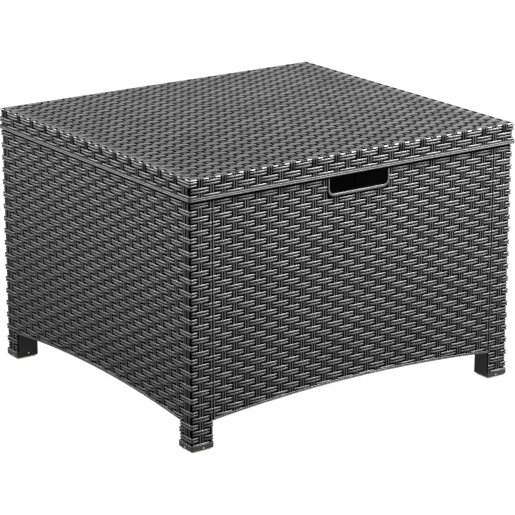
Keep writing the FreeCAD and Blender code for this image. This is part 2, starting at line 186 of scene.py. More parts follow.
# each strand is two ribs side by side; a rib is (places across, heights), -9 stands for the ground
_b = np.array([[-1.0, -9], [-0.985, -2.0], [-0.93, -1.0], [-0.80, -0.26], [-0.56, 0.0], [-0.33, -0.28], [-0.18, -1.0], [-0.09, -1.9], [0.0, -2.7]])
B_RIBS = [(_b[:, 0], np.where(_b[:, 1] < -5, -9, _b[:, 1] - 0.4)), (-_b[::-1, 0], _b[::-1, 1])]
_t = np.array([[-1.0, -9], [-0.98, -1.3], [-0.90, -0.4], [-0.5, 0.0], [-0.14, -0.15], [-0.05, -0.45], [0.0, -0.8]])
T_RIBS = [(_t[:, 0], _t[:, 1]), (-_t[::-1, 0], _t[::-1, 1])]
_s = np.array([[-1.0, -9], [-0.97, -1.25], [-0.82, -0.32], [-0.585, 0.0], [-0.35, -0.32], [-0.20, -1.2], [-0.13, -2.2]])
S_RIBS = [(np.append(_s[:, 0], 0.13), np.append(_s[:, 1], -2.2)), (-_s[::-1, 0], _s[::-1, 1])]


def arch(d, amp):
    u = np.clip(d / 14.0, 0, 1)
    v = np.clip(d / 1.1, 0, 1)
    return -0.5 * amp * (1 + np.cos(math.pi * u)) - 1.5 * (1 - np.sqrt(np.clip(1 - (1 - v) ** 2, 0, 1)))


def narrow(d, by=0.12, reach=2.0):
    v = np.clip(d / reach, 0, 1)
    return 1 - by * (1 - np.sqrt(np.clip(1 - (1 - v) ** 2, 0, 1)))


def jitter(n, amount):
    return RNG.uniform(-amount, amount, n)


def bricks(mesh, place, rows, **opt):
    if rows:
        tint = 0.5 + jitter(len(rows), 0.5)
        for across, lifts in opt.pop("ribs", B_RIBS):
            brick_rib(mesh, place, rows, across, lifts, tint, **opt)


def brick_rib(mesh, place, rows, across, rise, tint, mids=None, flip=False, low=None, high=None, lift=0.0,
              half=HALF_B, amp=1.5, base=-SINK, taper=(0.12, 2.0)):
    """rows: list of (s0, s1, c0, c1, z): natural ends, clipped ends, centre line. place(s, z, n) gives points."""
    a = np.array(rows, float)
    s0, s1, c0, c1, zc = a.T
    if mids is None:
        mids = np.array([0.5])
    n = len(a)
    # sample stations along each strand
    length = s1 - s0
    left = B_END[None, :] / length[:, None]
    st = np.sort(np.concatenate([left, np.repeat(mids[None, :], n, 0), 1 - left[:, ::-1]], axis=1), axis=1)
    s = c0[:, None] + st * (c1 - c0)[:, None]
    d = np.minimum(s - s0[:, None], s1[:, None] - s)
    hgt = arch(d, amp) + lift
    wid = half * narrow(d, *taper)
    lifts = np.where(rise < -5, 0, rise)[None, None, :]
    nn = hgt[:, :, None] + lifts
    nn = np.where(rise[None, None, :] < -5, base, nn)
    up = np.broadcast_to(rise[None, None, :], nn.shape).copy()
    up[:, 0, :] = up[:, -1, :] = -9
    cut0, cut1 = c0 - s0 > 0.05, s1 - c1 > 0.05
    nn[cut0, 0, :] = base
    nn[cut1, -1, :] = base
    nn = np.maximum(nn, base)
    z = zc[:, None, None] + wid[:, :, None] * across[None, None, :]
    ss = np.broadcast_to(s[:, :, None], z.shape)
    keep = np.ones((n, s.shape[1] - 1, len(across) - 1), bool)
    if low is not None:
        lo = low(ss)
        under = z < lo
        z = np.maximum(z, lo)
        keep &= ~(under[:, :-1, :-1] & under[:, 1:, :-1] & under[:, 1:, 1:] & under[:, :-1, 1:])
    if high is not None:
        hi = high(ss)
        above = z > hi
        z = np.minimum(z, hi)
        keep &= ~(above[:, :-1, :-1] & above[:, 1:, :-1] & above[:, 1:, 1:] & above[:, :-1, 1:])
    mesh.grid(place(ss, z, nn), flip=flip, keep=keep, tint=tint, rise=up)


def stakes(mesh, place, segs, **opt):
    if segs:
        tint = 0.5 + jitter(len(segs), 0.3)
        for across, rise in opt.pop("ribs", S_RIBS):
            stake_rib(mesh, place, segs, across, rise, tint, **opt)


def stake_rib(mesh, place, segs, across, rise, tint, flip=False, low=None, high=None, smin=None, smax=None, half=HALF_S, crest=-0.9):
    """segs: list of (s, z0, z1). Double-ribbed strands across the bricks."""
    a = np.array(segs, float)
    sc, z0, z1 = a.T
    st = np.array([0.0, 0.16, 0.5, 0.84, 1.0])
    z = z0[:, None] + st[None, :] * (z1 - z0)[:, None]
    dip = np.array([-0.75, -0.25, 0.0, -0.25, -0.75])
    nn = crest + dip[None, :, None] + np.where(rise < -5, 0, rise)[None, None, :]
    nn = np.where(rise[None, None, :] < -5, -SINK, np.broadcast_to(nn, (len(a), 5, len(rise))))
    s = sc[:, None, None] + half * across[None, None, :]
    s = np.broadcast_to(s, nn.shape).copy()
    zz = np.broadcast_to(z[:, :, None], nn.shape).copy()
    keep = np.ones((len(a), 4, len(across) - 1), bool)

    def drop(mask):
        return ~(mask[:, :-1, :-1] & mask[:, 1:, :-1] & mask[:, 1:, 1:] & mask[:, :-1, 1:])

    if low is not None:
        lo = low(s)
        m = zz < lo
        zz = np.maximum(zz, lo)
        keep &= drop(m)
    if high is not None:
        hi = high(s)
        m = zz > hi
        zz = np.minimum(zz, hi)
        keep &= drop(m)
    if smin is not None:
        m = s < smin
        s = np.maximum(s, smin)
        keep &= drop(m)
    if smax is not None:
        m = s > smax
        s = np.minimum(s, smax)
        keep &= drop(m)
    mesh.grid(place(s, zz, nn), flip=not flip, keep=keep, tint=tint, rise=rise[None, None, :])


def wrap_strand(mesh, place, sc, path, lift, half, flip, tint=0.5):
    for across, prof in S_RIBS:
        wrap_rib(mesh, place, sc, path, lift, half, across, prof, flip, tint)


def wrap_rib(mesh, place, sc, path, lift, half, across, prof, flip, tint):
    """One rib of a strand along w = path with crest heights lift, at s = sc."""
    w = np.asarray(path, float)[:, None]
    n0 = np.asarray(lift, float)[:, None]
    nn = n0 + np.where(prof < -5, 0, prof)[None, :]
    nn = np.where(prof[None, :] < -5, np.minimum(-SINK, n0 - 3.4), nn)
    nn = np.maximum(nn, -SINK)
    s = np.broadcast_to(sc + half * across[None, :], nn.shape)
    ww = np.broadcast_to(w, nn.shape)
    mesh.grid(place(s, ww, nn)[None], flip=not flip, tint=[tint], rise=prof[None, None, :])


P_W = np.array([-2.9, -2.86, -2.5, -2.0, -1.0, 0.1, 1.1, 2.2, 2.8, 3.15, 3.2])
P_N = np.array([-9.0, -2.4, -0.75, -0.12, -0.28, -0.34, -0.28, -0.12, -0.75, -2.4, -9.0])
P_END = np.array([0.0, 0.03, 0.45, 1.5, 3.2])


def pill(mesh, f, s0, s1, crest=-0.15, mids=()):
    """Short length of rail on the top edge, between two strands that come over it."""
    mids = list(mids) or [(s0 + s1) / 2]
    st = np.sort(np.concatenate([s0 + P_END, mids, s1 - P_END]))
    d = np.minimum(st - s0, s1 - st)
    drop = np.interp(d, [0.03, 0.45, 1.5, 3.2], [-1.9, -0.75, -0.2, 0.0])
    drop[[0, -1]] = -9.0
    up = P_N[None, :] + drop[:, None]
    nn = np.where(up < -5, -SINK, np.maximum(crest + up, -SINK))
    ss = np.broadcast_to(st[:, None], nn.shape)
    ww = np.broadcast_to(P_W[None, :], nn.shape)
    mesh.grid(f.over(ss, ww, nn)[None], flip=f.flip, tint=[0.5 + RNG.uniform(-0.3, 0.3)], rise=up[None])


def sweep(mesh, pts, n, flip=False):
    """pts is [M, K, 3]: a swept section whose points stand n proud of the face."""
    n = np.broadcast_to(n, pts.shape[:2])
    mesh.grid(np.asarray(pts, float)[None], flip=flip, rise=(1.6 * (n - n.max()))[None])


def minus(c0, c1, blocked):
    """The parts of [c0, c1] outside the blocked intervals."""
    parts = [(c0, c1)]
    for b0, b1 in blocked:
        out = []
        for p0, p1 in parts:
            if b1 <= p0 or b0 >= p1:
                out.append((p0, p1))
                continue
            if b0 - p0 > 2.0:
                out.append((p0, b0))
            if p1 - b1 > 2.0:
                out.append((b1, p1))
        parts = out
    return parts


def brick_rows(centres, parity, ks, zfun, c_lo, c_hi, blocked=lambda k: ()):
    rows = []
    for k in ks:
        for i, c in enumerate(centres):
            if not parity(i, k):
                continue
            s0, s1 = c - BRICK / 2, c + BRICK / 2
            c0, c1 = max(s0, c_lo), min(s1, c_hi)
            if c1 - c0 < 2.0:
                continue
            for p0, p1 in minus(c0, c1, blocked(k)):
                rows.append((s0, s1, p0, p1, zfun(k)))
    return rows


def over_front(i, k):      # rows that pass over stake i on the front and the rear
    return (i + k) % 2 == 1


def over_rear(i, k):       # the count of strands round the box puts the rear one step on
    return (i + k) % 2 == 0


def over_side(j, k):       # rows that pass over stake j on the sides
    return (j + k) % 2 == 0


OVER = {"front": over_front, "rear": over_rear}
WRAP_END, WRAP_X = 287.9, 347.1      # ends of the bricks that go round a corner
SEAM_X = 316.9
_e = np.array([[0.62, -9], [0.66, -2.0], [1.2, -0.9], [2.1, -0.15], [3.1, 0.0], [4.0, -0.3], [4.7, -1.2], [4.85, -9]])
EDGE_OUT, EDGE_IN = [(_e[:, 0], _e[:, 1])], [(-_e[::-1, 0], _e[::-1, 1])]


def wraps(row):
    """Corner (-1 front, 1 rear) that a row goes round on the side walls."""
    return -1 if row % 2 == 0 else 1


# ------------------------------------------------------------------ materials
def nodes_of(name):
    m = bpy.data.materials.new(name)
    m.use_nodes = True
    nt = m.node_tree
    nt.nodes.clear()
    out = nt.nodes.new("ShaderNodeOutputMaterial")
    b = nt.nodes.new("ShaderNodeBsdfPrincipled")
    nt.links.new(b.outputs["BSDF"], out.inputs["Surface"])
    tc = nt.nodes.new("ShaderNodeTexCoord")
    return m, nt, b, tc.outputs["Object"]


def noise(nt, vec, scale, detail=4.0, rough=0.55, distortion=0.0):
    t = nt.nodes.new("ShaderNodeTexNoise")
    t.inputs["Scale"].default_value = scale
    t.inputs["Detail"].default_value = detail
    t.inputs["Roughness"].default_value = rough
    t.inputs["Distortion"].default_value = distortion
    nt.links.new(vec, t.inputs["Vector"])
    return t.outputs["Fac"]


def span(nt, value, a, b, lo=0.0, hi=1.0):
    r = nt.nodes.new("ShaderNodeMapRange")
    r.inputs["From Min"].default_value = lo
    r.inputs["From Max"].default_value = hi
    r.inputs["To Min"].default_value = a
    r.inputs["To Max"].default_value = b
    nt.links.new(value, r.inputs["Value"])
    return r.outputs["Result"]


def mixc(nt, fac, c1, c2):
    m = nt.nodes.new("ShaderNodeMix")
    m.data_type = "RGBA"
    for sock, c in ((m.inputs[6], c1), (m.inputs[7], c2)):
        if isinstance(c, tuple):
            sock.default_value = (*c, 1.0)
        else:
            nt.links.new(c, sock)
    if isinstance(fac, float):
        m.inputs[0].default_value = fac
    else:
        nt.links.new(fac, m.inputs[0])
    return m.outputs[2]


def bump(nt, height, strength, distance, normal=None):
    b = nt.nodes.new("ShaderNodeBump")
    b.inputs["Strength"].default_value = strength
    b.inputs["Distance"].default_value = distance
    nt.links.new(height, b.inputs["Height"])
    if normal is not None:
        nt.links.new(normal, b.inputs["Normal"])
    return b.outputs["Normal"]


def woven_material(name="woven_resin_graphite", lo=(0.114, 0.114, 0.114), hi=(0.160, 0.160, 0.160), r0=0.36, r1=0.46, spec=0.80):
    m, nt, b, co = nodes_of(name)
    at = nt.nodes.new("ShaderNodeAttribute")
    at.attribute_name = "tint"
    up = nt.nodes.new("ShaderNodeAttribute")
    up.attribute_name = "rise"
    cloud = noise(nt, co, 9.0, 3.0)
    grain = noise(nt, co, 900.0, 4.0, 0.6)
    c1 = mixc(nt, span(nt, at.outputs["Fac"], 0.0, 1.0), lo, hi)
    c2 = mixc(nt, span(nt, cloud, 0.0, 0.30, 0.3, 0.7), c1, tuple(v * 1.1 for v in hi))
    c3 = mixc(nt, span(nt, grain, 0.0, 0.30, 0.35, 0.7), c2, tuple(v * 0.6 for v in lo))
    # painted highlight and painted shade: the crests of a strand are painted lighter and its flanks and grooves darker,
    # down to near black low in the gaps, following the rise attribute
    c4 = mixc(nt, span(nt, up.outputs["Fac"], 1.0, 0.0, 0.42, 1.0), c3, (0.008, 0.008, 0.008))
    # painted shade: the walls' colour is darkened towards the ground, standing in for light that falls off lower down;
    # their specular level also drops a little towards the ground
    sep = nt.nodes.new("ShaderNodeSeparateXYZ")
    nt.links.new(co, sep.inputs[0])
    c5 = mixc(nt, span(nt, sep.outputs["Z"], 0.32, 0.0, 0.05, 0.42), c4, (0.006, 0.006, 0.006))
    nt.links.new(c5, b.inputs["Base Color"])
    nt.links.new(span(nt, grain, r0, r1, 0.3, 0.7), b.inputs["Roughness"])
    shine = nt.nodes.new("ShaderNodeMath")
    shine.operation = "MULTIPLY"
    nt.links.new(span(nt, up.outputs["Fac"], 0.08, spec, 0.36, 0.90), shine.inputs[0])
    nt.links.new(span(nt, sep.outputs["Z"], 0.88, 1.0, 0.05, 0.42), shine.inputs[1])
    nt.links.new(shine.outputs[0], b.inputs["Specular IOR Level"])
    streak = noise(nt, co, 2600.0, 2.0, 0.5)
    n1 = bump(nt, grain, 0.14, 0.00010)
    n2 = bump(nt, streak, 0.12, 0.00004, n1)
    nt.links.new(n2, b.inputs["Normal"])
    return m


def ground_material():
    # painted shade: the floor of the weave between the strands is near black, standing in for the shade in the gaps
    m, nt, b, co = nodes_of("woven_resin_ground_painted_shade")
    cloud = noise(nt, co, 220.0, 3.0)
    c = mixc(nt, span(nt, cloud, 0.0, 1.0, 0.3, 0.7), (0.004, 0.004, 0.004), (0.009, 0.009, 0.009))
    nt.links.new(c, b.inputs["Base Color"])
    nt.links.new(span(nt, cloud, 0.6, 0.75), b.inputs["Roughness"])
    b.inputs["Specular IOR Level"].default_value = 0.2
    nt.links.new(bump(nt, cloud, 0.3, 0.0002), b.inputs["Normal"])
    return m


def plain_material(name="plain_resin_graphite", lo=(0.050, 0.050, 0.050), hi=(0.070, 0.070, 0.070), r0=0.42, r1=0.56):
    m, nt, b, co = nodes_of(name)
    cloud = noise(nt, co, 7.0, 3.0)
    grain = noise(nt, co, 1400.0, 3.0, 0.6)
    c1 = mixc(nt, span(nt, cloud, 0.0, 1.0, 0.3, 0.7), lo, hi)
    c2 = mixc(nt, span(nt, grain, 0.0, 0.25, 0.4, 0.7), c1, (0.036, 0.036, 0.036))
    nt.links.new(c2, b.inputs["Base Color"])
    nt.links.new(span(nt, grain, r0, r1, 0.3, 0.7), b.inputs["Roughness"])
    b.inputs["Specular IOR Level"].default_value = 0.45
    vor = nt.nodes.new("ShaderNodeTexVoronoi")
    vor.inputs["Scale"].default_value = 1100.0
    nt.links.new(co, vor.inputs["Vector"])
    n1 = bump(nt, vor.outputs["Distance"], 0.22, 0.0002)
    n2 = bump(nt, grain, 0.2, 0.0001, n1)
    nt.links.new(n2, b.inputs["Normal"])
    return m


def nylon_material():
    m, nt, b, co = nodes_of("pale_nylon_milky")
    cloud = noise(nt, co, 60.0, 3.0)
    fine = noise(nt, co, 1800.0, 2.0)
    c = mixc(nt, span(nt, cloud, 0.0, 1.0, 0.3, 0.7), (0.55, 0.54, 0.50), (0.68, 0.67, 0.63))
    nt.links.new(c, b.inputs["Base Color"])
    nt.links.new(span(nt, fine, 0.38, 0.50), b.inputs["Roughness"])
    b.inputs["Subsurface Weight"].default_value = 0.15
    b.inputs["Subsurface Radius"].default_value = (0.002, 0.002, 0.0018)
    nt.links.new(bump(nt, fine, 0.15, 0.0001), b.inputs["Normal"])
    return m


def rubber_material():
    m, nt, b, co = nodes_of("bumper_rubber_black")
    fine = noise(nt, co, 1500.0, 3.0)
    dust = noise(nt, co, 90.0, 4.0)
    c = mixc(nt, span(nt, dust, 0.0, 0.5, 0.45, 0.75), (0.018, 0.018, 0.018), (0.050, 0.049, 0.047))
    nt.links.new(c, b.inputs["Base Color"])
    nt.links.new(span(nt, fine, 0.70, 0.85), b.inputs["Roughness"])
    b.inputs["Specular IOR Level"].default_value = 0.3
    nt.links.new(bump(nt, fine, 0.3, 0.0001), b.inputs["Normal"])
    return m


def steel_material():
    m, nt, b, co = nodes_of("zinc_steel_bright")
    patch = nt.nodes.new("ShaderNodeTexVoronoi")
    patch.inputs["Scale"].default_value = 420.0
    nt.links.new(co, patch.inputs["Vector"])
    fine = noise(nt, co, 1600.0, 3.0)
    c = mixc(nt, span(nt, patch.outputs["Distance"], 0.0, 1.0, 0.0, 0.8), (0.20, 0.204, 0.21), (0.29, 0.294, 0.30))
    nt.links.new(c, b.inputs["Base Color"])
    b.inputs["Metallic"].default_value = 1.0
    nt.links.new(span(nt, fine, 0.38, 0.52), b.inputs["Roughness"])
    nt.links.new(bump(nt, fine, 0.12, 0.00005), b.inputs["Normal"])
    return m


def coated_material():
    m, nt, b, co = nodes_of("black_coated_steel_satin")
    peel = noise(nt, co, 700.0, 3.0)
    wear = noise(nt, co, 130.0, 5.0, 0.65)
    c = mixc(nt, span(nt, wear, 0.0, 0.6, 0.62, 0.80), (0.022, 0.022, 0.024), (0.085, 0.085, 0.088))
    nt.links.new(c, b.inputs["Base Color"])
    nt.links.new(span(nt, peel, 0.34, 0.46), b.inputs["Roughness"])
    b.inputs["Specular IOR Level"].default_value = 0.5
    nt.links.new(bump(nt, peel, 0.2, 0.0001), b.inputs["Normal"])
    return m


WOVEN, GROUND_SHADE, PLAIN = woven_material(), ground_material(), plain_material()
# the table top and the strands over its edge get darker copies of the woven resin, painted shade that holds down the
# light they catch from above; they are also rougher and less specular
WOVEN_TOP_SHADED = woven_material("woven_resin_table_top_painted_shade", (0.084, 0.084, 0.084), (0.113, 0.113, 0.113), 0.52, 0.66, 0.12)
WOVEN_EDGE_SHADED = woven_material("woven_resin_table_edge_painted_shade", (0.090, 0.090, 0.090), (0.120, 0.120, 0.120), 0.42, 0.55, 0.32)
# the short rails on the top edge get a lighter copy of the woven resin, a painted highlight
WOVEN_RAIL_LIT = woven_material("woven_resin_edge_rails_painted_highlight", (0.125, 0.125, 0.125), (0.170, 0.170, 0.170), 0.38, 0.50, 0.66)
NYLON, RUBBER, STEEL, COATED = nylon_material(), rubber_material(), steel_material(), coated_material()


# ------------------------------------------------------------------ shells: the panels under the weave
def shell(node, name, body, cuts, push, is_ground):
    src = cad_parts[node].data
    bm = bmesh.new()
    bm.from_mesh(src)
    bmesh.ops.scale(bm, vec=(1000, 1000, 1000), verts=bm.verts)
    bmesh.ops.remove_doubles(bm, verts=bm.verts, dist=0.001)
    for z in cuts:
        bmesh.ops.bisect_plane(bm, geom=bm.verts[:] + bm.edges[:] + bm.faces[:], dist=0.0005,
                               plane_co=(0, 0, z), plane_no=(0, 0, 1))
    for v in bm.verts:
        v.co.x, v.co.y, v.co.z = push(v.co.x, v.co.y, v.co.z)
    bmesh.ops.remove_doubles(bm, verts=bm.verts, dist=0.0008)
    bmesh.ops.dissolve_degenerate(bm, edges=bm.edges[:], dist=0.0008)
    bm.normal_update()
    for f in bm.faces:
        f.smooth = True
        # faces of the weave's floor take the near-black ground material, painted shade in the gaps
        f.material_index = 1 if is_ground(f) else 0
    for e in bm.edges:
        if len(e.link_faces) == 2:
            e.smooth = e.calc_face_angle(0.0) < math.radians(32)
        else:
            e.smooth = False
    bmesh.ops.scale(bm, vec=(MM, MM, MM), verts=bm.verts)
    me = bpy.data.meshes.new(name)
    bm.to_mesh(me)
    bm.free()
    me.materials.append(PLAIN)
    me.materials.append(GROUND_SHADE)
    ob = bpy.data.objects.new(name, me)
    bpy.context.scene.collection.objects.link(ob)
    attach(ob, body)
    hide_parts(node)
    return ob


def body_push(x, y, z):
    if z > 12.6:
        gx, gy = BODX - DEPTH, BODY - DEPTH
        x = max(-gx, min(gx, x))
        y = max(-gy, min(gy, y))
    return x, y, z


def body_ground(f):
    c, n = f.calc_center_median(), f.normal
    if not 12.0 < c.z < 457.7:
        return False
    if abs(n.x) > 0.9 and abs(c.x) > BODX - DEPTH - 0.3:
        return True
    return abs(n.y) > 0.9 and abs(c.y) > BODY - DEPTH - 0.3


def lid_push(x, y, z):
    if z > 467.1:
        gx, gy = LIDX - DEPTH, LIDY - DEPTH
        up = float(crown(x, y))
        if 497.0 < z - up < 498.6 and abs(x) < 350 and abs(y) < 315:
            z = 495.3 + up     # blind screw holes end below the ground
        x = max(-gx, min(gx, x))
        y = max(-gy, min(gy, y))
        z = min(z, TOPZ - DEPTH + up)
    elif z > 459.0:
        # the rim is closed by two ribs that run round it
        gx, gy = LIDX + 0.3, LIDY + 0.3
        x = max(-gx, min(gx, x))
        y = max(-gy, min(gy, y))
    return x, y, z


def lid_ground(f):
    c, n = f.calc_center_median(), f.normal
    if c.z < 466.6:
        return False
    if n.z > 0.9 and c.z > TOPZ - DEPTH - 0.2:
        return True
    if abs(n.x) > 0.5 and abs(c.x) > LIDX - DEPTH - 0.3:
        return True
    return abs(n.y) > 0.5 and abs(c.y) > LIDY - DEPTH - 0.3


BODY_CUTS = (12.3, 12.7)
shell("left_side_panel", "left_panel_wall", "body", BODY_CUTS, body_push, body_ground)
shell("right_side_panel", "right_panel_wall", "body", BODY_CUTS, body_push, body_ground)
shell("front_panel", "front_panel_wall", "body", BODY_CUTS, body_push, body_ground)
shell("rear_panel", "rear_panel_wall", "body", BODY_CUTS, body_push, body_ground)
shell("lid_top_panel", "lid_wall", "lid", (466.9, 467.3), lid_push, lid_ground)


# ------------------------------------------------------------------ arches under the walls
def arc_fun(half):
    rise = ARCH_Z - LEG_Z
    rad = (half * half + rise * rise) / (2 * rise)

    def z(s):
        s = np.clip(np.abs(s), 0, half)
        return ARCH_Z - rad + np.sqrt(rad * rad - s * s)

    return z


ARCH_F, ARCH_S = arc_fun(POSTX), arc_fun(POSTY)
EDGE_H = 5.0


def arch_bead(mesh, face, half, zfun, flip):
    s = np.linspace(-half, half, 65)
    t = np.array([0.0, 0.05, 0.5, 1.25, 2.0, 2.45, 2.9, 3.65, 4.45, 4.95, 5.0]) * EDGE_H / 5.0
    n = np.array([-4.9, -1.3, -0.35, 0.0, -0.45, -1.15, -0.45, 0.0, -0.35, -1.3, -SINK])
    ss = np.broadcast_to(s[:, None], (len(s), len(t)))
    zz = zfun(s)[:, None] + t[None, :]
    sweep(mesh, face.at(ss, zz, np.broadcast_to(n, ss.shape)), n, flip=flip)


def pads(name, body, node, place, pts, flip):
    """Low domes in the ground of the weave over the ends of the screws behind it."""
    mesh = Mesh()
    r = np.array([3.6, 3.4, 2.8, 2.0, 1.0, 0.02])[::-1]
    n = np.array([-SINK, -3.9, -2.7, -2.3, -2.2, -2.2])[::-1]
    a = np.linspace(0, 2 * math.pi, 17)
    for x, y in pts:
        s, t = x + r[:, None] * np.cos(a), y + r[:, None] * np.sin(a)
        mesh.grid(place(s, t, np.broadcast_to(n[:, None], s.shape))[None], flip=flip)
    # the domes take the near-black ground material, painted shade in the recess
    mesh.make(name, body, node, "woven_resin", GROUND_SHADE)


def u_bead(mesh, face, xc, half, z_in, wide, wide_bottom, r_in, r_out, z_end, crest, flip, up=False, inner_n=-SINK):
    """Plain raised frame round an opening: two legs and a bottom, swept between an inner and an outer outline."""
    def outline(h, z0, r):
        pts = [(-h, z_end), (-h, (z_end + z0) / 2), (-h, z0 + r)] if not up else [(-h, z_end), (-h, (z_end + z0) / 2), (-h, z0 - r)]
        sgn = -1 if not up else 1
        cz = z0 + r if not up else z0 - r
        for a in np.linspace(0, math.pi / 2, 7)[1:]:
            pts.append((-h + r - r * math.cos(a), cz + sgn * r * math.sin(a)))
        pts.append((0.0, z0))
        m = [(-x, z) for x, z in pts[:-1]][::-1]
        return np.array(pts + m)

    zi = z_in
    zo = z_in - wide_bottom if not up else z_in + wide_bottom
    a = outline(half, zi, r_in)
    b = outline(half + wide, zo, r_out)
    f = np.array([0.0, 0.03, 0.22, 0.5, 0.78, 0.97, 1.0])
    n = np.array([inner_n, crest - 0.9, crest - 0.2, crest, crest - 0.2, crest - 0.9, -SINK])
    s = a[:, None, 0] * (1 - f) + b[:, None, 0] * f + xc
    z = a[:, None, 1] * (1 - f) + b[:, None, 1] * f
    nn = np.broadcast_to(n, s.shape)
    sweep(mesh, face.at(s, z, nn), nn, flip=(flip if up else not flip))


# ------------------------------------------------------------------ body panels
SLOT_HALF, SLOT_Z = 65.0, 428.5
POCKET_HALF, POCKET_Z = 29.5, 424.0
K_BODY = range(3, 36)       # rows across the whole wall
K_LEG = range(36, 40)       # rows on the legs only


def const(v):
    return lambda s: np.full(np.shape(s), v)


def end_panel(side, name, node):
    """Front or rear panel between the seams."""
    face = BODYF[side]
    fl = face.flip
    wefts, staves = Mesh(), Mesh()
    over = OVER[side]
    edge = 316.2

    def blocked(k):
        z = row_z(k)
        if side == "front":
            if z + HALF_B > 452:
                return [(-68.6, 68.6)]
            if z + HALF_B > SLOT_Z - 5:
                return [(-67.6, 67.6)] if z > SLOT_Z + 8 else [(-66.2, 66.2)]
            return []
        if z + HALF_B > POCKET_Z - 3.4:
            return [(xc - 32.6, xc + 32.6) for xc in (-230.0, 230.0)]
        return []

    rows = brick_rows(STX, over, K_BODY, row_z, -edge, edge, blocked)
    low = lambda s: ARCH_F(s) + EDGE_H - 0.4
    bricks(wefts, face.at, rows, flip=fl, low=low, high=const(LIP_Z + 0.3))
    segs = []
    for i in range(2, 27):
        for k in K_BODY:
            if over(i, k):
                continue
            z = row_z(k)
            hit = False
            for b0, b1 in blocked(k):
                hit |= b0 + 1 < STX[i] < b1 - 1
            if not hit:
                segs.append((STX[i], z - 8.0, z + 8.0))
    # rows that end on the frame of an opening
    stakes(staves, face.at, segs, flip=fl, low=low, high=const(LIP_Z + 0.3))
    arch_bead(staves, face, 316.2, ARCH_F, fl)
    # the strand at each seam is split: one rib on this panel, the other on the post
    for sg in (-1, 1):
        segs = [(sg * SEAM_X, row_z(k) - 7.7, row_z(k) + 7.7) for k in K_BODY if not over(1, k)]
        stakes(staves, face.at, segs, ribs=list(EDGE_OUT if sg < 0 else EDGE_IN), half=1.0, crest=-0.55, flip=fl, low=low, high=const(LIP_Z + 0.3))
    if side == "front":
        u_bead(staves, face, 0.0, SLOT_HALF, SLOT_Z, 4.2, 6.0, 10.0, 13.5, 457.2, 1.3, fl, inner_n=-5.0)
    else:
        for xc in (-230.0, 230.0):
            u_bead(staves, face, xc, POCKET_HALF, POCKET_Z, 3.4, 3.4, 0.8, 2.5, 457.2, 0.0, fl, inner_n=-4.9)
    wefts.make(name + "_bricks", "body", node, "woven_resin", WOVEN)
    staves.make(name + "_stakes", "body", node, "woven_resin", WOVEN)


